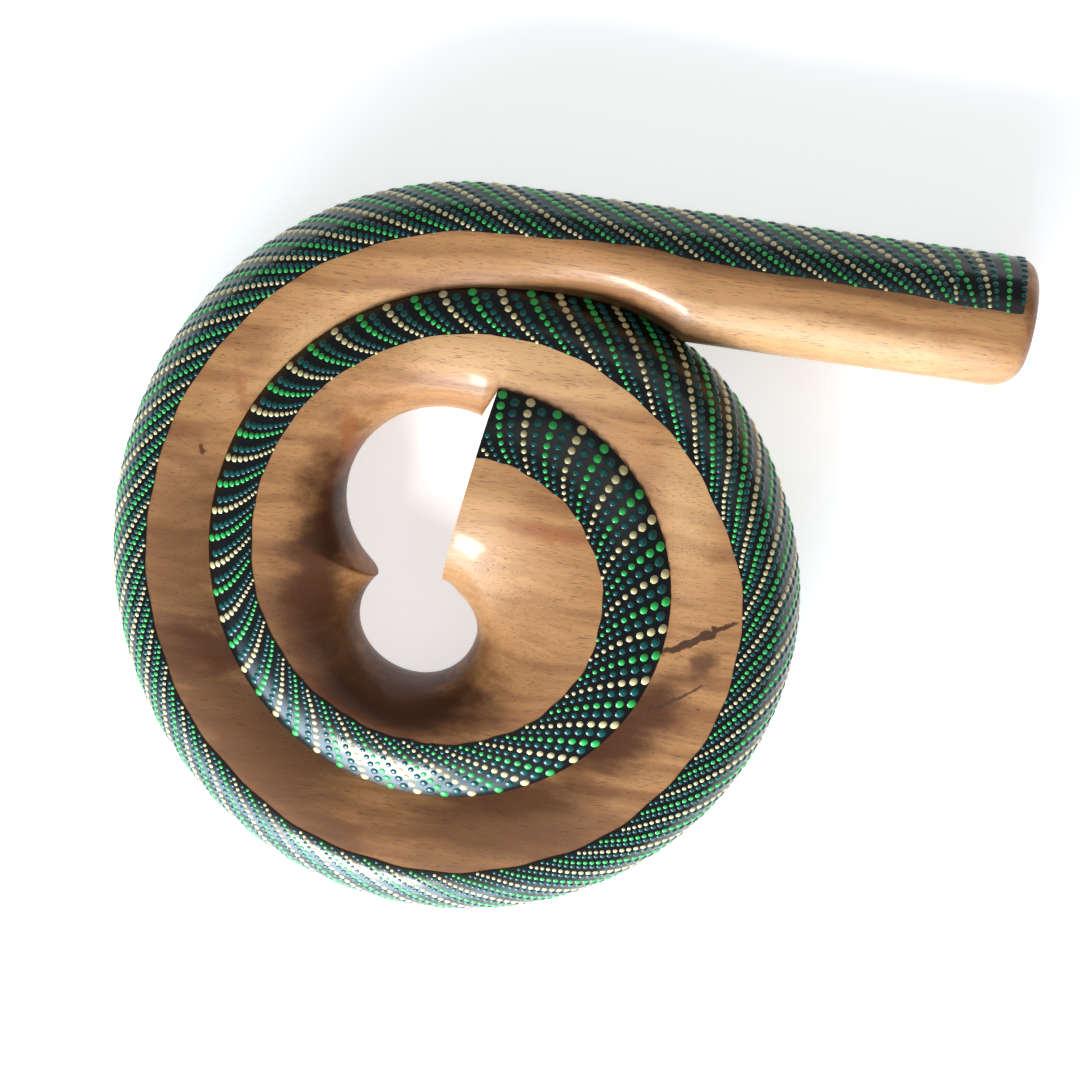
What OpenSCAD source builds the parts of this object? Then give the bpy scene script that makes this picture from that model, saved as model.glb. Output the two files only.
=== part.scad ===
// Compact spiral didgeridoo, lying on its flat back, painted face up.
// +X runs along the straight blowing tube towards the mouth, +Z points up.

/* [Coil, outer edge to the eye, one radius per quarter turn] */
// Top of the outer turn, where the straight tube joins
turn1_top = 193; // [188:0.5:196]
// Left of the outer turn
turn1_left = 178.5; // [176:0.5:184]
// Bottom of the outer turn
turn1_bottom = 184.5; // [182:0.5:190]
// Right of the outer turn
turn1_right = 173; // [168:0.5:176]
// Groove at the top
turn2_top = 145.5; // [142:0.5:148]
// Groove at the left
turn2_left = 124.5; // [119:0.5:125]
// Groove at the bottom
turn2_bottom = 115.5; // [111:0.5:116]
// Groove at the right
turn2_right = 108.5; // [106:0.5:111]
// Outer corner of the bell rim
bell_top = 98; // [95:0.5:100]
// Extra radius where the coil runs in under the straight tube
crotch_swell = 4; // [2:0.5:5]

/* [Thickness] */
// Height of the blowing tube's crown above the glue line
crown_tube = 32; // [30:0.5:35]
// Extra crown height gained by the bell
crown_gain = 9; // [6:0.5:12]
// Depth of the flat back below the glue line
back_depth = 31; // [29:0.5:32]
// Groove height as a share of the crown height
groove_share = 0.72; // [0.65:0.01:0.76]
// Thickness of the glue line
glue_t = 0.2; // [0.1:0.05:0.3]
// Thickness of the black ground paint
paint_t = 0.4; // [0.3:0.1:0.5]

/* [Mouth] */
// Distance from the spiral centre to the mouth end
mouth_x = 258.5; // [240:0.5:270]
// Radius of the drilled mouth bore
mouth_r = 15; // [14.8:0.1:16]
// Depth of the drilled mouth bore
mouth_depth = 40; // [30:1:50]
// Length of the mouth end's rounding on the coil side
mouth_round = 16; // [13:0.5:20]
// Depth of the mouth end's rounding on the coil side
mouth_round_in = 12; // [8:0.5:13]
// Rounding of the mouth end on the outer side
mouth_round_out = 9; // [6:0.5:12]

/* [Air channel] */
// Radius of the carved channel behind the mouth bore
channel_r = 14.5; // [13:0.1:14.6]
// Steady widening of the channel up to the bell
channel_taper = 3.5; // [2.5:0.5:4]
// Extra half-width at the bell rim
bell_flare = 28; // [22:0.5:29]
// Wall between the channel and the groove in the inner turn
channel_wall = 6.5; // [6:0.5:7]

/* [Eye] */
// Radius of the upper lobe of the eye
eye_r1 = 50; // [49.5:0.5:51]
// Radius of the lower lobe of the eye
eye_r2 = 31; // [30:0.5:32]
// Radius of the rounded bell lip
lip_r = 10; // [9:0.5:12]

/* [Hidden] */

pitch_a = 6;            // degrees between cross-sections
crotch_a = 414;         // where the coil meets the straight tube's lower side
rim_a = 804;            // where the bell ends
first_a = 90;           // where the straight tube turns into the coil
eye_c1 = [-13, 31];
eye_c2 = [-18, -31];
eye_pole = [-8.8, -17.8];
lip_a = 684;            // where the eye starts to narrow into the bell lip
lip_blend = 80;         // degrees over which it narrows
groove_blend = 36;      // degrees over which the groove rises from the crotch
crown_share = 0.45;     // crown position across the outer turn
inner_crown = 22;       // crown distance from the groove where the inner turn begins
inner_crown_gain = 12;  // growth of that distance towards the bell
groove_back = 0.95;     // height of the back groove relative to the front one
bell_squash_front = 0.28; // how much flatter than a circle the bell becomes
bell_squash_back = 0.46;
paint_tube = 73;        // ellipse angle where the paint stops beside the tube
paint_mouth = 81;       // the same at the mouth end
paint_coil = 88;        // the same around the coil
paint_crotch = 7;       // how much further the paint runs near the crotch
edge_steps = 4;
crown_steps = 5;
arc_steps = 7;
land_a = 74;            // ellipse angle at which the flat back begins
turn_r = [turn1_top, turn1_left, turn1_bottom, turn1_right, turn2_top,
    turn2_left, turn2_bottom, turn2_right, bell_top];

function ease(t) = let (c = max(0, min(1, t))) c * c * (3 - 2 * c);
function progress(a) = max(0, (a - first_a) / (rim_a - first_a));

// Coil radius at angle a, a smooth curve through the quarter-turn radii
function coil_r(a) =
    let (q = (a - first_a) / 90,
        i = min(7, floor(q)),
        t = q - i,
        p0 = i > 0 ? turn_r[i - 1] : turn_r[1],
        p1 = turn_r[i],
        p2 = turn_r[i + 1],
        p3 = i < 7 ? turn_r[i + 2] : 2 * turn_r[8] - turn_r[7])
    p1 + t * (p2 - p0) / 2 + t * t * (p0 - 2.5 * p1 + 2 * p2 - p3 / 2)
        + t * t * t * (1.5 * (p1 - p2) + (p3 - p0) / 2);
function coil(a) = (coil_r(a) + crotch_swell * (1 - ease(abs(a - crotch_a) / groove_blend)))
    * [cos(a), sin(a)];

// Height of the coil line above the glue line, zero while it is a free edge
function coil_h(a) = a > rim_a ? 0
    : ease((a - crotch_a) / groove_blend) * groove_share * crown(a);
function crown(a) = crown_tube + crown_gain * pow(progress(a), 2);

// Distance from the pole of the eye to a lobe of radius r centred on c
function lobe(c, r, a) =
    let (m = c - eye_pole, d = m * [cos(a), sin(a)]) d + sqrt(d * d - m * m + r * r);
function eye_reach(a) =
    let (s = ease((a - lip_a) / lip_blend))
    (1 - s) * max(a < lip_a ? lobe(eye_c1, eye_r1, a) : 0, lobe(eye_c2, eye_r2, a)) + s * lip_r;
function eye(a) = eye_pole + eye_reach(a) * [cos(a), sin(a)];

function bore_w(a) =
    channel_r + channel_taper * progress(a) + bell_flare * pow(progress(a), 10);

// One cross-section: angle, outer end, inner end, end heights, crown loss, crown distance
tube_low = coil(crotch_a).y;
tube_x = coil(crotch_a).x;
mouth_y = (turn1_top + tube_low) / 2;
function tube_section(x, outer, inner) =
    let (w = turn1_top - tube_low - outer - inner)
    [0, [x, turn1_top - outer], [x, tube_low + inner], 0, 0, outer, crown_share * w];
// How far a rounding of length l and depth d cuts in at distance x from the end
function round_in(x, l, d) = x < l ? d * (1 - sqrt(1 - pow(1 - x / l, 2))) : 0;
function turn_section(a) =
    let (inner = coil(a + 360),
        outer = a < first_a ? [inner.x, turn1_top] : coil(a))
    [a, outer, inner, coil_h(a), coil_h(a + 360), 0, crown_share * norm(outer - inner)];
function inner_section(a) =
    [a, coil(a), eye(a), coil_h(a), 0, 0, inner_crown + inner_crown_gain * ease((a - 450) / 240)];

mouth_sections = [for (r = [0:15:90]) let (x = mouth_round * (1 - cos(r)))
    tube_section(mouth_x - x, round_in(x, mouth_round_out, mouth_round_out),
        round_in(x, mouth_round, mouth_round_in))];
tube_sections = [for (i = [1:4])
    tube_section(mouth_x - mouth_round - i * (mouth_x - mouth_round - tube_x) / 5, 0, 0)];
turn_sections = [for (a = [crotch_a - 360:pitch_a:rim_a - 360]) turn_section(a)];
inner_sections = [for (a = [rim_a - 360:pitch_a:rim_a]) inner_section(a)];
sections = concat(mouth_sections, tube_sections, turn_sections, inner_sections);
last = len(sections) - 1;
turn_start = len(mouth_sections) + len(tube_sections);
split = turn_start + len(turn_sections);
crotch = turn_start + 360 / pitch_a;
paint_start = 4;

// Ellipse angles from the outer end over the crown to the inner end, side 1 front, -1 back
function start_a(h, s, side) = asin(min(0.98, max(glue_t / 2, h) / peak(s, side)));
function peak(s, side) = side > 0 ? crown(s[0]) - s[5]
    : back_depth / sin(land_a) - s[5];
function side_h(h, side) = side > 0 ? h : h * groove_back * back_depth / crown(rim_a);
// Ellipse angle where the front paint stops: short of the crown on the straight tube,
// a little past it where the coil runs in under the tube
function paint_a(s) =
    s[0] > first_a ? paint_coil + paint_crotch * (1 - ease(abs(s[0] - 405) / 60))
    : s[0] > 0 ? paint_tube + (paint_coil - paint_tube) * ease((s[0] - crotch_a + 360) / 36)
    : paint_tube + (paint_mouth - paint_tube) * (s[1].x - tube_x) / (mouth_x - tube_x);
function rises(s, side) =
    let (a0 = start_a(side_h(s[3], side), s, side),
        a1 = start_a(side_h(s[4], side), s, side),
        stop = paint_a(s))
    side > 0
    ? concat([for (k = [0:crown_steps]) a0 + (stop - a0) * k / crown_steps],
        [for (k = [1:edge_steps]) stop + (180 - a1 - stop) * k / edge_steps])
    : concat([for (k = [0:edge_steps]) a0 + (land_a - a0) * k / edge_steps],
        [for (k = [0:edge_steps]) 180 - land_a + (land_a - a1) * k / edge_steps]);

// Outside skin of a cross-section as points from the outer end to the inner end
function skin(s, side) =
    let (angles = rises(s, side),
        a0 = angles[0],
        a1 = angles[len(angles) - 1],
        w = norm(s[2] - s[1]),
        e = (s[2] - s[1]) / w,
        h = peak(s, side))
    [for (a = angles)
        let (u = a <= 90 ? s[6] * (1 - cos(a) / cos(a0))
                : s[6] + (w - s[6]) * cos(a) / cos(a1),
            p = s[1] + u * e)
        [p.x, p.y, side * h * sin(a)]];

// Face along the glue line with the half channel sunk into it
function face_line(s, side) =
    let (w = norm(s[2] - s[1]),
        e = (s[2] - s[1]) / w,
        b = bore_w(s[0]),
        shrink = side > 0 ? bell_squash_front : bell_squash_back,
        v = b * (1 - shrink * pow(progress(s[0]), 6)),
        inner_turn = s[0] > first_a && s[4] == 0,
        c = s[0] == 0 ? s[1].y - mouth_y : inner_turn ? b + channel_wall : w / 2,
        z0 = glue_t / 2)
    concat([[s[1].x, s[1].y, side * z0]],
        [for (k = [0:arc_steps])
            let (a = 180 * k / arc_steps, p = s[1] + (c - b * cos(a)) * e)
            [p.x, p.y, side * (z0 + v * sin(a))]],
        [[s[2].x, s[2].y, side * z0]]);

// Two triangles per cell between neighbouring sections of n points each
function strip(i, n, from, count, flip) = [for (k = [0:count - 1])
    let (a = i * n + from + k, b = a + n, c = b + 1, d = a + 1)
    each flip ? [[a, c, b], [a, d, c]] : [[a, b, c], [a, c, d]]];

module half(side) {
    skins = [for (s = sections) skin(s, side)];
    lines = [for (s = sections) face_line(s, side)];
    n = len(skins[0]);
    all_points = concat([for (s = skins) each s], [for (s = lines) each s]);
    lower = n * len(sections);
    up = side < 0;
    rows = [for (i = [0:last - 1]) each concat(strip(i, n, 0, n - 1, !up),
        strip(i + len(sections), n, 0, n - 1, up))];
    caps = [for (k = [0:n - 2], end = [0, last])
        let (a = end * n + k, b = a + 1, c = b + lower, d = a + lower)
        each (end == 0) == up ? [[a, b, c], [a, c, d]] : [[a, c, b], [a, d, c]]];
    g = (split - 1) * n + n - 1;
    step = up ? [[g, g + n, g + lower]] : [[g, g + lower, g + n]];
    polyhedron(all_points, concat(rows, caps, step), convexity = 12);
}

module place() {
    left = min([for (s = sections) s[1].x]) - paint_t;
    low = min([for (s = sections) s[1].y]) - paint_t;
    translate([-(mouth_x + left) / 2, -(turn1_top + paint_t + low) / 2, back_depth])
        children();
}

module mouth_bore() {
    translate([mouth_x - mouth_depth, mouth_y, 0])
        rotate([0, 90, 0])
            cylinder(r = mouth_r, h = mouth_depth + 1, $fn = 96);
}

module front_half() {
    color([0.72, 0.48, 0.27]) place() difference() {
        half(1);
        mouth_bore();
    }
}

module back_half() {
    color([0.66, 0.43, 0.24]) place() difference() {
        half(-1);
        mouth_bore();
    }
}

module glue_seam() {
    lines = [for (s = sections) face_line(s, 1)];
    far = arc_steps + 2;
    outline = concat([for (i = [0:crotch]) sections[i][1]],
        [for (i = [turn_start - 1:-1:0]) sections[i][2]]);
    hole = concat([for (i = [split:last]) sections[i][2]], [sections[last][1]]);
    // The cut runs on past the bell rim, so that it leaves the mouth of the bell open
    past = [for (k = [1, far - 1]) let (p = 1.2 * lines[last][k] - 0.2 * lines[last - 1][k])
        [p.x, p.y]];
    channel = concat([for (i = [0:last - 1]) [lines[i][1].x, lines[i][1].y]], past,
        [for (i = [last - 1:-1:0]) [lines[i][far - 1].x, lines[i][far - 1].y]]);
    color([0.85, 0.72, 0.45]) place() difference() {
        translate([0, 0, -glue_t / 2])
            linear_extrude(glue_t) difference() {
                polygon(outline);
                polygon(hole);
                polygon(channel);
            }
        mouth_bore();
    }
}

// Points of a skin pushed out by the paint thickness
function coat(s, side, lift) =
    let (pts = skin(s, side),
        angles = rises(s, side),
        e = (s[1] - s[2]) / norm(s[1] - s[2]),
        wide = s[6] / cos(angles[0]),
        h = peak(s, side))
    [for (k = [0:len(pts) - 1])
        let (nx = cos(angles[k]) / wide,
            nz = sin(angles[k]) / h,
            m = norm([nx, nz]),
            d = k > 0 || s[3] == 0 ? [nx / m, nz / m] : [0, 1],
            t = k == 0 && lift == 0 ? 0 : paint_t,
            p = pts[k] + t * [d.x * e.x, d.x * e.y, side * d.y])
        [p.x, p.y, max(-back_depth, p.z)]];

// Closed film between an inner and an outer row of points for every section
module film(inner, outer) {
    n = len(inner[0]);
    m = len(inner) - 1;
    points = concat([for (s = inner) each s], [for (s = outer) each s]);
    o = n * len(inner);
    rows = [for (i = [0:m - 1]) each concat(strip(i, n, 0, n - 1, true),
        strip(i + m + 1, n, 0, n - 1, false))];
    edges = [for (i = [0:m - 1], k = [0, n - 1])
        let (a = i * n + k, b = a + n, c = b + o, d = a + o)
        each k == 0 ? [[a, b, c], [a, c, d]] : [[a, c, b], [a, d, c]]];
    ends = [for (i = [0, m], k = [0:n - 2])
        let (a = i * n + k, b = a + 1, c = b + o, d = a + o)
        each i == 0 ? [[a, c, b], [a, d, c]] : [[a, b, c], [a, c, d]]];
    polyhedron(points, concat(rows, edges, ends), convexity = 12);
}

function part_of(list, from, to) = [for (i = [from:to]) list[i]];
function backwards(list) = [for (i = [len(list) - 1:-1:0]) list[i]];

module ground_outer_turn() {
    inner = [for (i = [paint_start:crotch])
        concat(backwards(part_of(skin(sections[i], 1), 0, crown_steps)),
            part_of(skin(sections[i], -1), 0, edge_steps))];
    outer = [for (i = [paint_start:crotch])
        let (lift = i == crotch ? 0 : 1)
        concat(backwards(part_of(coat(sections[i], 1, lift), 0, crown_steps)),
            part_of(coat(sections[i], -1, lift), 0, edge_steps))];
    color([0.06, 0.06, 0.07]) place() film(inner, outer);
}

module inner_ground(side, count) {
    turns = [crotch:last];
    inner = [for (i = turns) backwards(part_of(skin(sections[i], side), 0, count))];
    outer = [for (i = turns) backwards(part_of(coat(sections[i], side, 1), 0, count))];
    film(side > 0 ? inner : outer, side > 0 ? outer : inner);
}

module ground_inner_turn_front() {
    color([0.06, 0.06, 0.07]) place() inner_ground(1, crown_steps);
}

module ground_inner_turn_back() {
    color([0.06, 0.06, 0.07]) place() inner_ground(-1, edge_steps);
}

front_half();
back_half();
glue_seam();
ground_outer_turn();
ground_inner_turn_front();
ground_inner_turn_back();
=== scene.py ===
"""Compact spiral didgeridoo with a painted band of dots, lying on a pale floor.

The body follows the same cross-section rule as the CAD model, drawn with more sections.
Lengths are millimetres about the spiral's centre and the glue plane until to_frame().
"""

import math

import bmesh
import bpy
import numpy as np
from mathutils import Matrix, Vector


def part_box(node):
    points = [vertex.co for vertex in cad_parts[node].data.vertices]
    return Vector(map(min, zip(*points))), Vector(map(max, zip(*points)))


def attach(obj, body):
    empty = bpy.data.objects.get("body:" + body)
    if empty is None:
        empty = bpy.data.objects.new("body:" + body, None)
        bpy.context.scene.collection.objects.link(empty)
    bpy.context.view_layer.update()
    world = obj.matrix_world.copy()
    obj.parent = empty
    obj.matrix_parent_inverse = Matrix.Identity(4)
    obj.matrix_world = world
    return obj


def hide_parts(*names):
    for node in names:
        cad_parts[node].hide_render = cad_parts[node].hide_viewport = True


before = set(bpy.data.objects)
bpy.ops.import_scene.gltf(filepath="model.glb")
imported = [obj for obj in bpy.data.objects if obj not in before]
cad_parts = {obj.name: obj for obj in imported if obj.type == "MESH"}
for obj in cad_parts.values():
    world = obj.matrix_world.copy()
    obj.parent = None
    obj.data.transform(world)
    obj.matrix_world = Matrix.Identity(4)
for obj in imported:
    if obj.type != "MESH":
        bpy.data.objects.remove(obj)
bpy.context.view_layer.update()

MM = 0.001

# ---------------------------------------------------------------- driving dimensions
TURN_R = [193, 178.5, 184.5, 173, 145.5, 124.5, 115.5, 108.5, 98]
FIRST_A, CROTCH_A, SPLIT_A, RIM_A = 90, 414, 444, 804
CROTCH_SWELL = 4
CROWN_TUBE, CROWN_GAIN, BACK_DEPTH = 32, 9, 31
GROOVE_SHARE, CROWN_SHARE, LAND_A = 0.72, 0.45, 74
GLUE_T, PAINT_T = 0.2, 0.4
MOUTH_X, MOUTH_R, MOUTH_DEPTH = 258.5, 15, 40
MOUTH_ROUND, MOUTH_ROUND_IN, MOUTH_ROUND_OUT = 16, 12, 9
CHANNEL_R, CHANNEL_TAPER, BELL_FLARE, CHANNEL_WALL = 14.5, 3.5, 28, 6.5
GROOVE_BLEND = 36  # degrees over which the groove rises from the crotch
GROOVE_BACK = 0.95  # height of the back groove relative to the front one
LIP_A, LIP_BLEND = 684, 80  # where the eye starts to narrow into the bell lip, and how fast
SQUASH_FRONT, SQUASH_BACK = 0.28, 0.46  # how much flatter than a circle the bell becomes
INNER_CROWN, INNER_CROWN_GAIN = 22, 12  # crown distance on the inner turn, and its growth
PAINT_TUBE, PAINT_MOUTH, PAINT_COIL, PAINT_CROTCH = 73, 81, 88, 7  # where the paint stops
EYE_POLE = np.array([-8.8, -17.8])
EYE_LOBES = ((np.array([-13.0, 31.0]), 50), (np.array([-18.0, -31.0]), 31))
LIP_R = 10
PAINT_SUNK = 0.1  # how far the film reaches into the wood
BARE_END = 8  # unpainted wood at the mouth end
BACK_PAINT = 0.93  # share of the back skin's rise that is painted

STEP_A = 1.5  # degrees between sections
STEP_X = 6  # distance between sections along the tube
RISE_N, FALL_N, CHANNEL_N = 14, 14, 24  # cells across a skin and a channel


# ---------------------------------------------------------------- the spiral
def ease(t):
    c = min(1.0, max(0.0, t))
    return c * c * (3 - 2 * c)


def progress(a):
    return max(0.0, (a - FIRST_A) / (RIM_A - FIRST_A))


def turn(a, r):
    return r * np.array([math.cos(math.radians(a)), math.sin(math.radians(a))])


def coil(a):
    """Outer line of the coil at angle a: a smooth curve through the quarter-turn radii."""
    q = (a - FIRST_A) / 90
    i = min(7, int(math.floor(q)))
    t = q - i
    p0 = TURN_R[i - 1] if i > 0 else TURN_R[1]
    p1, p2 = TURN_R[i], TURN_R[i + 1]
    p3 = TURN_R[i + 2] if i < 7 else 2 * TURN_R[8] - TURN_R[7]
    r = p1 + t * (p2 - p0) / 2 + t * t * (p0 - 2.5 * p1 + 2 * p2 - p3 / 2)
    r += t**3 * (1.5 * (p1 - p2) + (p3 - p0) / 2)
    return turn(a, r + CROTCH_SWELL * (1 - ease(abs(a - CROTCH_A) / GROOVE_BLEND)))


def crown(a):
    return CROWN_TUBE + CROWN_GAIN * progress(a) ** 2


def coil_h(a):
    """Height of the coil line over the glue plane, zero while it is a free edge."""
    if a > RIM_A:
        return 0.0
    return ease((a - CROTCH_A) / GROOVE_BLEND) * GROOVE_SHARE * crown(a)


def lobe(centre, radius, a):
    m = centre - EYE_POLE
    d = m @ turn(a, 1)
    return d + math.sqrt(max(0.0, d * d - m @ m + radius * radius))


def eye(a):
    s = ease((a - LIP_A) / LIP_BLEND)
    (c1, r1), (c2, r2) = EYE_LOBES
    reach = max(lobe(c1, r1, a) if a < LIP_A else 0, lobe(c2, r2, a))
    return EYE_POLE + turn(a, (1 - s) * reach + s * LIP_R)


def bore_w(a):
    return CHANNEL_R + CHANNEL_TAPER * progress(a) + BELL_FLARE * progress(a) ** 10


class Section:
    """One cross-section, from its outer end to its inner end."""

    def __init__(self, a, outer, inner, h_out=0.0, h_in=0.0, loss=0.0, crown_at=None):
        self.a, self.outer, self.inner = a, np.array(outer), np.array(inner)
        self.h_out, self.h_in, self.loss = h_out, h_in, loss
        self.w = float(np.linalg.norm(self.inner - self.outer))
        self.e = (self.inner - self.outer) / self.w
        self.crown_at = CROWN_SHARE * self.w if crown_at is None else crown_at
        self.bore = bore_w(a)
        self.bore_at = self.w / 2

    def peak(self, side):
        top = crown(self.a) if side > 0 else BACK_DEPTH / math.sin(math.radians(LAND_A))
        return top - self.loss

    def start(self, h, side):
        if side < 0:
            h = h * GROOVE_BACK * BACK_DEPTH / crown(RIM_A)
        return math.asin(min(0.98, max(GLUE_T / 2, h) / self.peak(side)))

    def paint_stop(self):
        """Share of the front skin's rise that is painted, a little over 1 past the crown."""
        if self.a > FIRST_A:
            stop = PAINT_COIL + PAINT_CROTCH * (1 - ease(abs(self.a - 405) / 60))
        elif self.a > 0:
            stop = PAINT_TUBE + (PAINT_COIL - PAINT_TUBE) * ease((self.a - CROTCH_A + 360) / 36)
        else:
            along = (self.outer[0] - tube_x) / (MOUTH_X - tube_x)
            stop = PAINT_TUBE + (PAINT_MOUTH - PAINT_TUBE) * along
        fall = 90 - math.degrees(self.start(self.h_in, 1))
        return stop / 90 if stop <= 90 else 1 + (stop - 90) / fall

    def skin(self, side, t):
        """Points of the skin: t runs 0..1 up to the crown and 1..2 down to the inner end."""
        a0, a1 = self.start(self.h_out, side), self.start(self.h_in, side)
        top = math.radians(90 if side > 0 else LAND_A)
        t = np.asarray(t, float)
        rising = a0 + (top - a0) * t
        falling = math.pi - top + (top - a1) * (t - 1)
        ang = np.where(t <= 1, rising, falling)
        c = np.abs(np.cos(ang))
        u = np.where(
            ang <= math.pi / 2,
            self.crown_at * (1 - c / math.cos(a0)),
            self.crown_at + (self.w - self.crown_at) * c / math.cos(a1),
        )
        xy = self.outer + u[:, None] * self.e
        return np.column_stack([xy, side * self.peak(side) * np.sin(ang)])

    def line(self, side):
        """The face on the glue plane with the half channel sunk into it."""
        z0 = GLUE_T / 2
        shrink = SQUASH_FRONT if side > 0 else SQUASH_BACK
        v = self.bore * (1 - shrink * progress(self.a) ** 6)
        ang = np.linspace(0, math.pi, CHANNEL_N + 1)
        u = self.bore_at - self.bore * np.cos(ang)
        arc = np.column_stack([self.outer + u[:, None] * self.e, side * (z0 + v * np.sin(ang))])
        ends = [[*p, side * z0] for p in (self.outer, self.inner)]
        return np.vstack([ends[:1], arc, ends[1:]])


def round_in(x, length, depth):
    return depth * (1 - math.sqrt(1 - (1 - x / length) ** 2)) if x < length else 0.0


tube_x, tube_low = coil(CROTCH_A)
mouth_y = (TURN_R[0] + tube_low) / 2


def tube_section(x, bore=None):
    d = MOUTH_X - x
    outer = round_in(d, MOUTH_ROUND_OUT, MOUTH_ROUND_OUT)
    inner = round_in(d, MOUTH_ROUND, MOUTH_ROUND_IN)
    s = Section(0, (x, TURN_R[0] - outer), (x, tube_low + inner), loss=outer)
    s.bore = bore or CHANNEL_R
    s.bore_at = s.outer[1] - mouth_y
    return s


def turn_section(a):
    inner = coil(a + 360)
    outer = (inner[0], TURN_R[0]) if a < FIRST_A else coil(a)
    s = Section(a, outer, inner, 0.0 if a < FIRST_A else coil_h(a), coil_h(a + 360))
    if FIRST_A < a and s.h_in == 0:
        s.bore_at = s.bore + CHANNEL_WALL
    return s


def inner_section(a):
    crown_at = INNER_CROWN + INNER_CROWN_GAIN * ease((a - 450) / 240)
    s = Section(a, coil(a), eye(a), coil_h(a), crown_at=crown_at)
    s.bore_at = s.bore + CHANNEL_WALL
    return s


bore_x = MOUTH_X - MOUTH_DEPTH
round_x = [MOUTH_X - MOUTH_ROUND * (1 - math.cos(r)) for r in np.radians(np.arange(0, 91, 7.5))]
tube_n = int((round_x[-1] - tube_x) / STEP_X)
plain_x = np.linspace(round_x[-1], tube_x, tube_n + 1)[1:-1]
tube = [tube_section(x, MOUTH_R) for x in round_x]
tube += [tube_section(x, MOUTH_R) for x in plain_x if x > bore_x]
tube += [tube_section(bore_x, MOUTH_R), tube_section(bore_x)]
tube += [tube_section(x) for x in plain_x if x < bore_x]
turns = [turn_section(a) for a in np.arange(CROTCH_A - 360, SPLIT_A + 0.1, STEP_A)]
inners = [inner_section(a) for a in np.arange(SPLIT_A, RIM_A + 0.1, STEP_A)]
sections = tube + turns + inners

# ---------------------------------------------------------------- meshes
front_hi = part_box("front_half")[1]
seam_lo, seam_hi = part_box("glue_seam")
ORIGIN = np.array([
    front_hi.x - MOUTH_X * MM, front_hi.y - TURN_R[0] * MM, (seam_lo.z + seam_hi.z) / 2
])


def to_frame(points):
    return np.asarray(points) * MM + ORIGIN


def strip(rows, cols, start=0):
    """Quads between neighbouring rows of a grid of points."""
    i, k = np.meshgrid(np.arange(rows - 1), np.arange(cols - 1), indexing="ij")
    a = (start + i * cols + k).ravel()
    return np.column_stack([a, a + 1, a + cols + 1, a + cols]).tolist()


def make(name, points, faces, material, node, slot, sharp=40.0):
    """A welded, smooth-shaded piece in the frame, standing for a CAD node."""
    mesh = bpy.data.meshes.new(name)
    mesh.from_pydata(to_frame(points).tolist(), [], faces)
    bm = bmesh.new()
    bm.from_mesh(mesh)
    bmesh.ops.remove_doubles(bm, verts=bm.verts, dist=2e-6)
    bmesh.ops.recalc_face_normals(bm, faces=bm.faces)
    bm.to_mesh(mesh)
    bm.free()
    mesh.shade_smooth()
    mesh.set_sharp_from_angle(angle=math.radians(sharp))
    mesh.materials.append(material)
    piece = bpy.data.objects.new(name, mesh)
    bpy.context.scene.collection.objects.link(piece)
    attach(piece, "root")
    if node:
        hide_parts(node)
    return piece


# ---------------------------------------------------------------- materials
class Nodes:
    """Small helper that adds linked shader nodes to one material."""

    def __init__(self, name):
        self.material = bpy.data.materials.new(name)
        self.material.use_nodes = True
        self.tree = self.material.node_tree
        self.shader = self.tree.nodes["Principled BSDF"]

    def add(self, kind, inputs=(), out=0, **settings):
        node = self.tree.nodes.new("ShaderNode" + kind)
        for key, value in settings.items():
            setattr(node, key, value)
        for key, value in dict(inputs).items():
            self.put(value, node.inputs[key])
        return node.outputs[out]

    def put(self, value, socket):
        if isinstance(value, bpy.types.NodeSocket):
            self.tree.links.new(value, socket)
        elif isinstance(value, tuple) and len(value) == 3 and socket.type == "RGBA":
            socket.default_value = (*value, 1)
        else:
            socket.default_value = value

    def math(self, op, a, b=0.0, clamp=False):
        return self.add("Math", {0: a, 1: b}, operation=op, use_clamp=clamp)

    def range(self, value, low, high, to_low=0.0, to_high=1.0):
        return self.add("MapRange", {
            "Value": value, "From Min": low, "From Max": high,
            "To Min": to_low, "To Max": to_high,
        }, interpolation_type="SMOOTHSTEP")

    def mix(self, fac, a, b, blend="MIX"):
        node = self.tree.nodes.new("ShaderNodeMix")
        node.data_type = "RGBA"
        node.blend_type = blend
        self.put(fac, node.inputs[0])
        self.put(a, node.inputs[6])
        self.put(b, node.inputs[7])
        return node.outputs[2]

    def surface(self, **values):
        for key, value in values.items():
            socket = key.replace("_", " ").title().replace("Ior", "IOR")
            self.put(value, self.shader.inputs[socket])
        return self.material


def gloss(name, colour, roughness, coat, speckle=0.0, shine=0.5):
    """Glossy paint with a very slight change of tone over the surface."""
    n = Nodes(name)
    where = n.add("TexCoord", out=3)
    tone = n.add("TexNoise", {"Vector": where, "Scale": 90.0, "Detail": 2.0})
    low = tuple(c * (1 - speckle) for c in colour)
    high = tuple(min(1, c * (1 + speckle)) for c in colour)
    return n.surface(
        base_color=n.mix(n.range(tone, 0.3, 0.7), low, high),
        roughness=roughness, coat_weight=coat, coat_roughness=0.12, specular_ior_level=shine,
    )


# The pale tone is paler wood and also painted light, for the lit top and right of the body.
HONEY, TOFFEE, PALE_AND_PAINTED_LIGHT = (0.50, 0.25, 0.098), (0.29, 0.125, 0.045), (0.68, 0.41, 0.19)
# The brown tone is darker wood and also painted shade, for the lower left of the body.
BROWN_AND_PAINTED_SHADE = (0.135, 0.055, 0.022)
# The heart tone is dark heartwood; on the eye's walls it is also painted shade in the hole.
PORE, HEART_AND_PAINTED_SHADE, RED = (0.07, 0.026, 0.011), (0.085, 0.026, 0.009), (0.32, 0.10, 0.035)
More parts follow.
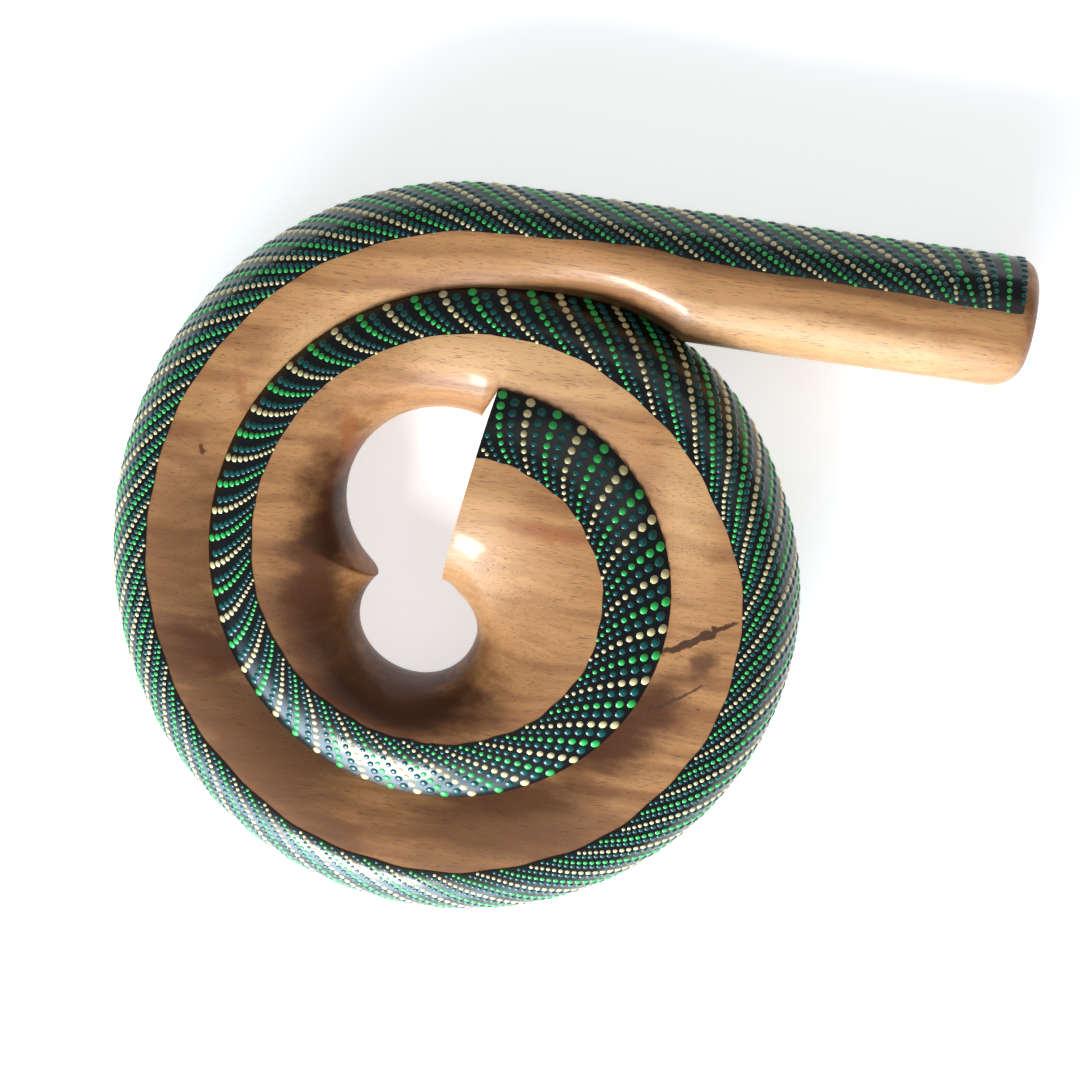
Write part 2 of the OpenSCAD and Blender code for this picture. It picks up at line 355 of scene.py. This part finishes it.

# Figure in the wood, with some painted light and shade: x, y of its middle, half length, half
# width, slope, strength, colour
FIGURE = (
    # Pale patches on the tube, the top and the right: paler wood and painted light where the wood
    # faces the key light.
    (170, 141, 130, 18, 0, 0.60, PALE_AND_PAINTED_LIGHT),
    (10, 118, 95, 26, -6, 0.60, PALE_AND_PAINTED_LIGHT),
    (110, 60, 60, 20, 98, 0.45, PALE_AND_PAINTED_LIGHT),
    (10, 15, 34, 70, 0, 0.30, PALE_AND_PAINTED_LIGHT),
    (-85, 100, 62, 18, 40, 0.40, PALE_AND_PAINTED_LIGHT),
    # Brown patches on the lower left: darker wood and painted shade on the side turned away from
    # the key light.
    (-92, -96, 105, 44, -42, 0.85, BROWN_AND_PAINTED_SHADE),
    (40, -126, 110, 38, 12, 0.80, BROWN_AND_PAINTED_SHADE),
    (-138, -10, 90, 34, 92, 0.62, BROWN_AND_PAINTED_SHADE),
    (-66, -46, 78, 52, -60, 0.72, BROWN_AND_PAINTED_SHADE),
    (60, -60, 60, 36, 40, 0.45, TOFFEE),
    (-114, -54, 46, 19, -8, 0.80, HEART_AND_PAINTED_SHADE),
    (97, -62, 56, 20, 48, 0.95, HEART_AND_PAINTED_SHADE),
    (44, -110, 62, 12, 14, 0.60, HEART_AND_PAINTED_SHADE),
    # These two patches darken the eye's lower and left walls: heartwood and painted shade in the
    # hole.
    (-22, -68, 84, 30, 0, 0.95, HEART_AND_PAINTED_SHADE),
    (-68, 4, 84, 20, 88, 0.92, HEART_AND_PAINTED_SHADE),
    (129, -22, 13, 8, 40, 0.80, HEART_AND_PAINTED_SHADE),
    (124, -11, 24, 2.4, 34, 1.00, PORE),
    (118, -43, 19, 1.0, 34, 0.85, PORE),
    (-115, 80, 20, 5, 105, 0.60, RED),
    (-60, 60, 32, 5, 96, 0.70, RED),
    (44, 33, 30, 6, -4, 0.65, RED),
    (-132, 47, 2.8, 1.5, 110, 0.90, HEART_AND_PAINTED_SHADE),
    (82, 143, 50, 7, -14, 0.70, HEART_AND_PAINTED_SHADE),
    (259, 161, 7, 42, 0, 0.75, RED),
)


ORIGIN_SHIFT = ORIGIN / MM


def wood(name, tint):
    """Varnished hardwood: soft bands and short pores along the grain, with dark heartwood, and
    patches of painted light and shade from the figure table.
    """
    n = Nodes(name)
    where = n.add("TexCoord", out=3)
    place = n.add("VectorMath", {0: where, 1: (1 / MM,) * 3}, operation="MULTIPLY")
    wobble = n.add("TexNoise", {"Vector": place, "Scale": 0.02, "Detail": 2.0}, out=1)
    bent = n.add("VectorMath", {0: wobble, 1: (9.0,) * 3, 2: place}, operation="MULTIPLY_ADD")
    jagged = n.add("TexNoise", {"Vector": place, "Scale": 0.18, "Detail": 3.0}, out=1)
    jagged = n.add("VectorMath", {0: jagged, 1: (0.5,) * 3}, operation="SUBTRACT")
    jagged = n.add("VectorMath", {0: jagged, 1: (7.0,) * 3, 2: place}, operation="MULTIPLY_ADD")

    def stretched(along, over, detail, rough=0.5):
        where = n.add("VectorMath", {0: bent, 1: (along, over, over)}, operation="MULTIPLY")
        return n.add("TexNoise", {
            "Vector": where, "Scale": 1.0, "Detail": detail, "Roughness": rough,
        })

    bands = n.range(stretched(0.006, 0.13, 3.0), 0.30, 0.60)
    fine = n.range(stretched(0.008, 0.50, 4.0, 0.65), 0.32, 0.68)
    pores = n.range(stretched(0.14, 2.1, 1.0, 0.4), 0.62, 0.70)
    mottle = n.range(stretched(0.02, 0.035, 3.0, 0.6), 0.35, 0.65)
    colour = n.mix(bands, TOFFEE, HONEY)
    colour = n.mix(n.math("MULTIPLY", fine, 0.42), colour, TOFFEE)
    colour = n.mix(n.math("MULTIPLY", mottle, 0.25), colour, TOFFEE)
    rag = n.math("SUBTRACT", stretched(0.018, 0.07, 4.0, 0.6), 0.5)
    # Each patch tints the wood towards its colour; the pale, brown and eye-wall patches are
    # partly painted light and shade.
    for cx, cy, length, width, slope, strength, shade in FIGURE:
        local = n.add("VectorRotate", {
            "Vector": n.add("VectorMath", {
                0: jagged, 1: (cx + ORIGIN_SHIFT[0], cy + ORIGIN_SHIFT[1], 0.0),
            }, operation="SUBTRACT"),
            "Angle": math.radians(-slope),
        }, rotation_type="Z_AXIS")
        local = n.add("VectorMath", {
            0: local, 1: (1 / length, 1 / width, 0.0),
        }, operation="MULTIPLY")
        reach = n.add("VectorMath", {0: local}, out=1, operation="LENGTH")
        reach = n.math("ADD", reach, n.math("MULTIPLY", rag, 1.2 if width > 4 else 0.5))
        inside = n.range(reach, 0.25 if width > 3 else 0.7, 1.05, strength, 0.0)
        colour = n.mix(inside, colour, shade)
    colour = n.mix(n.math("MULTIPLY", pores, 0.6), colour, PORE)
    colour = n.mix(1.0, colour, tint, "MULTIPLY")
    rough = n.range(fine, 0.0, 1.0, 0.40, 0.50)
    bump = n.add("Bump", {"Height": n.math("MULTIPLY", pores, -1.0), "Strength": 0.25,
                          "Distance": 0.0002})
    return n.surface(base_color=colour, roughness=rough, coat_weight=0.15,
                     coat_roughness=0.09, specular_ior_level=0.24, normal=bump)


WOOD_FRONT = wood("varnished_wood_front", (1.0, 1.0, 1.0))
WOOD_BACK = wood("varnished_wood_back", (0.96, 0.94, 0.92))
GLUE = gloss("glue_line", (0.36, 0.2, 0.09), 0.5, 0.1, 0.1)
BLACK = gloss("black_ground", (0.003, 0.004, 0.005), 0.21, 0.0, 0.2, 0.5)
DOT_PAINT = {
    "cream": gloss("cream_paint", (0.68, 0.60, 0.31), 0.3, 0.1, 0.06),
    "green": gloss("green_paint", (0.028, 0.50, 0.10), 0.3, 0.1, 0.06),
    "teal": gloss("teal_paint", (0.002, 0.085, 0.080), 0.26, 0.1, 0.08, 0.4),
}


# ---------------------------------------------------------------- wood halves and glue line
def half(side):
    t = np.concatenate([np.linspace(0, 1, RISE_N + 1), np.linspace(1, 2, FALL_N + 1)[1:]])
    if side < 0:
        t = np.insert(t, RISE_N + 1, 1 + 1e-9)
    skins = np.array([s.skin(side, t) for s in sections])
    lines = np.array([s.line(side) for s in sections])
    count, n, m = len(sections), len(t), lines.shape[1]
    low = count * n
    points = np.vstack([skins.reshape(-1, 3), lines.reshape(-1, 3)])
    faces = strip(count, n) + strip(count, m, low)
    for end in (0, count - 1):
        faces.append(list(range(end * n, end * n + n))
                     + [low + end * m + k for k in range(m - 1, -1, -1)])
    at = len(tube) + len(turns) - 1
    faces.append([at * n + n - 1, (at + 1) * n + n - 1, low + at * m + m - 1])
    return points, faces


make("wood_front_half", *half(1), WOOD_FRONT, "front_half", "wood_front")
make("wood_back_half", *half(-1), WOOD_BACK, "back_half", "wood_back")

glue_points, glue_faces = [], []
for near, far in ((0, 1), (CHANNEL_N + 1, CHANNEL_N + 2)):
    ring = []
    for s in sections:
        ends = s.line(1)[[near, far]]
        low_row, high_row = ends * [1, 1, -1], ends
        ring.append(np.vstack([low_row, high_row[::-1], low_row[:1]]))
    ring = np.array(ring)
    glue_faces += strip(len(sections), 5, len(glue_points) * 5 * len(sections))
    glue_points.append(ring.reshape(-1, 3))
make("glue_line", np.vstack(glue_points), glue_faces, GLUE, "glue_seam", "wood_glue")


# ---------------------------------------------------------------- black ground
painted = [s for s in tube if s.outer[0] <= MOUTH_X - BARE_END + 0.01]
painted = [s for k, s in enumerate(painted) if k == 0 or s.outer[0] < painted[k - 1].outer[0]]
painted += turns + inners[1:]
crotch_i = next(k for k, s in enumerate(painted) if s.a >= CROTCH_A)
T = np.linspace(0, 1, 25)


def uneven(k):
    """Where the paint stops beside the crown, a little unsteady as a hand would leave it."""
    return 1 + 0.010 * math.sin(k * 0.31) + 0.008 * math.sin(k * 0.83 + 1)


def surface(side):
    """Points and outward normals of the painted part of the skin."""
    points = np.array([
        s.skin(side, T * uneven(k) * (s.paint_stop() if side > 0 else BACK_PAINT))
        for k, s in enumerate(painted)])
    normals = np.cross(np.gradient(points, axis=0), np.gradient(points, axis=1))
    normals *= side / np.linalg.norm(normals, axis=2, keepdims=True)
    return points, normals


surfaces = {side: surface(side) for side in (1, -1)}
if surfaces[1][1][200, 12, 2] < 0:
    surfaces = {side: (p, -n) for side, (p, n) in surfaces.items()}


def shell(points, normals):
    """A closed film of paint over a grid of points, never lower than the flat back."""
    rows, cols = points.shape[:2]
    under, over = points - PAINT_SUNK * normals, points + PAINT_T * normals
    loop = np.concatenate([under, over[:, ::-1], under[:, :1]], axis=1)
    loop[:, :, 2] = np.maximum(loop[:, :, 2], -BACK_DEPTH)
    faces = strip(rows, 2 * cols + 1)
    for end in (0, rows - 1):
        faces.append(list(range(end * (2 * cols + 1), end * (2 * cols + 1) + 2 * cols)))
    return loop.reshape(-1, 3), faces


front_p, front_n = surfaces[1]
back_p, back_n = surfaces[-1]
outer = slice(0, crotch_i + 1)
edge_n = front_n[outer, :1] + back_n[outer, :1]
edge_n /= np.linalg.norm(edge_n, axis=2, keepdims=True)
both_p = np.concatenate([front_p[outer, :0:-1], (front_p + back_p)[outer, :1] / 2,
                         back_p[outer, 1:]], axis=1)
both_n = np.concatenate([front_n[outer, :0:-1], edge_n, back_n[outer, 1:]], axis=1)
make("ground_outer_turn", *shell(both_p, both_n), BLACK, "ground_outer_turn", "ground_paint")
make("ground_inner_turn_front", *shell(front_p[crotch_i:], front_n[crotch_i:]), BLACK,
     "ground_inner_turn_front", "ground_paint")
make("ground_inner_turn_back", *shell(back_p[crotch_i:], back_n[crotch_i:]), BLACK,
     "ground_inner_turn_back", "ground_paint")

# ---------------------------------------------------------------- painted dots
ROW_PITCH = 7.2  # distance between rows along the edge or groove
FRONT_END, BACK_END = 0.985, 0.93  # share of the painted width that the rows fill
ROW_COLOURS = ("cream", "teal", "green", "teal")
PAST_RIM = 24  # cross-sections past the bell rim where the last rows would begin
ACROSS = (0, 0.5, 1)  # from the edge or groove, halfway, and beside the crown
OUTER = {"size": (4.6, 3.4, 1.7), "gap": (5.6, 4.3, 2.7), "slant": (33, 52, 66)}
INNER = {"size": (4.9, 3.3, 1.6), "gap": (5.9, 4.6, 2.8), "slant": (24, 46, 62)}


def dome(sides, rings):
    """Unit dot: a low dome with a slight nipple, as rings of (radius, height) and a tip."""
    points, faces = [], []
    for radius, height in rings[:-1]:
        for k in range(sides):
            a = 2 * math.pi * k / sides
            points.append((radius * math.cos(a), radius * math.sin(a), height))
    points.append((0, 0, rings[-1][1]))
    for r in range(len(rings) - 2):
        for k in range(sides):
            a, b = r * sides + k, r * sides + (k + 1) % sides
            faces += [(a, b, b + sides), (a, b + sides, a + sides)]
    base = (len(rings) - 2) * sides
    faces += [(base + k, base + (k + 1) % sides, len(points) - 1) for k in range(sides)]
    return np.array(points), np.array(faces)


def at(grid, i, t):
    """Value of a grid at row i and share t of the way across."""
    k = min(len(grid) - 1.001, max(0.0, i))
    c = min(grid.shape[1] - 1.001, max(0.0, t * (grid.shape[1] - 1)))
    i0, c0 = int(k), int(c)
    fi, fc = k - i0, c - c0
    near = grid[i0, c0] * (1 - fc) + grid[i0, c0 + 1] * fc
    far = grid[i0 + 1, c0] * (1 - fc) + grid[i0 + 1, c0 + 1] * fc
    return near * (1 - fi) + far * fi


def section_at(i):
    return painted[min(len(painted) - 1, max(0, int(round(i))))]


def settle(i, t):
    """How far the rows lean: not at all at the mouth, and less at the bell's outer edge."""
    s = section_at(i)
    from_mouth = MOUTH_X - BARE_END - s.outer[0] if s.a < FIRST_A else MOUTH_X
    bell = 0.65 * ease((s.a - 650) / 70) * (1 - t * t)
    return ease((from_mouth + 6) / 75) * (1 - bell)


def dots(side):
    """Rows of dots as (colour, place, normal, along, diameter), drifting towards the mouth."""
    points, normals = surfaces[side]
    points = points + PAINT_T * normals
    step_i = np.linalg.norm(np.gradient(points, axis=0), axis=2)
    step_t = np.linalg.norm(np.gradient(points, axis=1), axis=2) * (len(T) - 1)
    along = np.gradient(points, axis=0)
    found = []
    row, i = 1, 0.6
    rim = len(painted) - 1.4
    while i < rim + PAST_RIM:
        colour = ROW_COLOURS[row % 4]
        a = max(FIRST_A, section_at(i).a)
        inner = ease((a - CROTCH_A + 14) / 40)
        u, t = i, 0.0
        if a > CROTCH_A + 4:
            t = 2.8 / at(step_t, i, 0)
        elif side < 0:
            t = 5.2 / at(step_t, i, 0)
        if colour == "teal":
            t += 2.4 / at(step_t, i, 0)
        end_t = FRONT_END if side > 0 else BACK_END
        while t < end_t and 0.25 < u:
            size, gap, slant = (
                (1 - inner) * np.interp(t, ACROSS, OUTER[key])
                + inner * np.interp(t, ACROSS, INNER[key]) for key in ("size", "gap", "slant"))
            swell = 1 + 0.12 * math.cos(math.radians(section_at(u).a)) * inner
            size, gap = size * swell * (1.08 if colour == "teal" else 1.0), gap * swell
            if u < rim:
                found.append((colour, at(points, u, t), at(normals, u, t), at(along, u, t), size))
            lean = math.radians(slant * settle(u, t))
            u -= gap * math.sin(lean) / at(step_i, u, t)
            t += gap * math.cos(lean) / at(step_t, u, t)
        pitch = ROW_PITCH + 0.8 * math.cos(math.radians(a - 10)) * (1 - inner) * (a > FIRST_A)
        i += pitch / at(step_i, i, 0)
        row += 1
    return found


FINE_DOME = dome(10, ((1.0, -0.02), (0.82, 0.18), (0.36, 0.25), (0, 0.32)))
PLAIN_DOME = dome(8, ((1.0, -0.02), (0.68, 0.21), (0, 0.30)))


def dot_piece(name, found, template, material):
    unit, tris = template
    place = np.array([f[1] for f in found])
    up = np.array([f[2] for f in found])
    up /= np.linalg.norm(up, axis=1, keepdims=True)
    along = np.array([f[3] for f in found])
    along -= (along * up).sum(1, keepdims=True) * up
    along /= np.linalg.norm(along, axis=1, keepdims=True)
    over = np.cross(up, along)
    r = np.array([f[4] for f in found])[:, None, None] / 2
    body = (unit[None, :, :1] * along[:, None] + unit[None, :, 1:2] * over[:, None]
            + unit[None, :, 2:] * up[:, None])
    points = to_frame((place[:, None] + r * body).reshape(-1, 3))
    faces = (tris[None] + len(unit) * np.arange(len(found))[:, None, None]).reshape(-1, 3)
    mesh = bpy.data.meshes.new(name)
    mesh.vertices.add(len(points))
    mesh.vertices.foreach_set("co", points.ravel())
    mesh.loops.add(faces.size)
    mesh.loops.foreach_set("vertex_index", faces.ravel())
    mesh.polygons.add(len(faces))
    mesh.polygons.foreach_set("loop_start", np.arange(0, faces.size, 3))
    mesh.update(calc_edges=True)
    mesh.validate()
    mesh.shade_smooth()
    mesh.materials.append(material)
    piece = bpy.data.objects.new(name, mesh)
    bpy.context.scene.collection.objects.link(piece)
    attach(piece, "root")
    return piece


for side, word, template in ((1, "front", FINE_DOME), (-1, "back", PLAIN_DOME)):
    found = dots(side)
    for colour, paint in DOT_PAINT.items():
        mine = [f for f in found if f[0] == colour]
        dot_piece(f"{colour}_dots_{word}", mine, template, paint)

# ---------------------------------------------------------------- floor, light and camera
FLOOR_COLOUR = (0.92, 0.92, 0.92)
FLOOR_HALF = 4  # metres from the middle to each edge
floor_mesh = bpy.data.meshes.new("floor")
corners = [(-FLOOR_HALF, -FLOOR_HALF, 0), (FLOOR_HALF, -FLOOR_HALF, 0),
           (FLOOR_HALF, FLOOR_HALF, 0), (-FLOOR_HALF, FLOOR_HALF, 0)]
floor_mesh.from_pydata(corners, [], [(0, 1, 2, 3)])
floor_nodes = Nodes("pale_floor")
grey = floor_nodes.add("TexNoise", {"Scale": 3.0})
floor_mesh.materials.append(floor_nodes.surface(
    base_color=floor_nodes.mix(grey, FLOOR_COLOUR, (0.9, 0.9, 0.9)), roughness=0.9,
    emission_color=(1.0, 1.0, 1.0), emission_strength=0.62))
floor = bpy.data.objects.new("floor", floor_mesh)
bpy.context.scene.collection.objects.link(floor)

VIEW_TURN = math.radians(7.57)  # the tube slopes down to the right in the picture
VIEW_SIDE, VIEW_UP = math.radians(4.9), math.radians(13.23)
VIEW_DISTANCE = 1.0
LENS, SENSOR = 65.68, 36.0
AIM = (38.6, 19.6, 0)  # point in the middle of the picture
middle = Vector(to_frame(AIM))


def picture_axes():
    """Right, up and towards-the-camera directions of the picture plane before tilting."""
    roll = Matrix.Rotation(VIEW_TURN, 3, "Z")
    return roll @ Vector((1, 0, 0)), roll @ Vector((0, 1, 0)), Vector((0, 0, 1))


right, up, out = picture_axes()
side_part, up_part = math.sin(VIEW_SIDE), math.sin(VIEW_UP)
towards = right * side_part + up * up_part + out * math.sqrt(1 - side_part**2 - up_part**2)
x_axis = up.cross(towards).normalized()
y_axis = towards.cross(x_axis)
camera_data = bpy.data.cameras.new("camera")
camera_data.lens, camera_data.sensor_width = LENS, SENSOR
camera = bpy.data.objects.new("camera", camera_data)
camera.matrix_world = Matrix.Translation(middle + towards * VIEW_DISTANCE) @ Matrix(
    (x_axis, y_axis, towards)).transposed().to_4x4()
bpy.context.scene.collection.objects.link(camera)
bpy.context.scene.camera = camera


def lamp(name, direction, distance, size, power, colour):
    """A square soft light over the object, given in the picture's own axes."""
    data = bpy.data.lights.new(name, "AREA")
    data.size, data.energy, data.color = size, power, colour
    light = bpy.data.objects.new(name, data)
    where = (right * direction[0] + up * direction[1] + out * direction[2]).normalized()
    light.location = middle + where * distance
    light.rotation_euler = where.to_track_quat("Z", "Y").to_euler()
    bpy.context.scene.collection.objects.link(light)


lamp("key", (-0.42, -1.00, 0.62), 1.7, 0.4, 38, (1.0, 0.97, 0.93))
lamp("overhead", (0.5, 0.35, 1.0), 2.2, 1.6, 5, (1.0, 1.0, 1.0))

SKY_DIM, SKY_BRIGHT = (0.22, 0.23, 0.24), (9.0, 11.5, 14.0)  # away from and beside the key light
world = bpy.data.worlds.new("studio")
world.use_nodes = True
links, nodes = world.node_tree.links, world.node_tree.nodes
heading = nodes.new("ShaderNodeTexCoord")
facing = nodes.new("ShaderNodeVectorMath")
facing.operation = "DOT_PRODUCT"
facing.inputs[1].default_value = (right * -0.42 + up * -0.90 + out * 0.10).normalized()
share = nodes.new("ShaderNodeMapRange")
share.interpolation_type = "SMOOTHSTEP"
share.inputs["From Min"].default_value = 0.8
share.inputs["From Max"].default_value = 1.0
tone = nodes.new("ShaderNodeMix")
tone.data_type = "RGBA"
tone.inputs[6].default_value = (*SKY_DIM, 1)
tone.inputs[7].default_value = (*SKY_BRIGHT, 1)
links.new(heading.outputs["Generated"], facing.inputs[0])
links.new(facing.outputs["Value"], share.inputs["Value"])
links.new(share.outputs[0], tone.inputs[0])
links.new(tone.outputs[2], nodes["Background"].inputs["Color"])
bpy.context.scene.world = world
bpy.context.scene.view_settings.view_transform = "Standard"
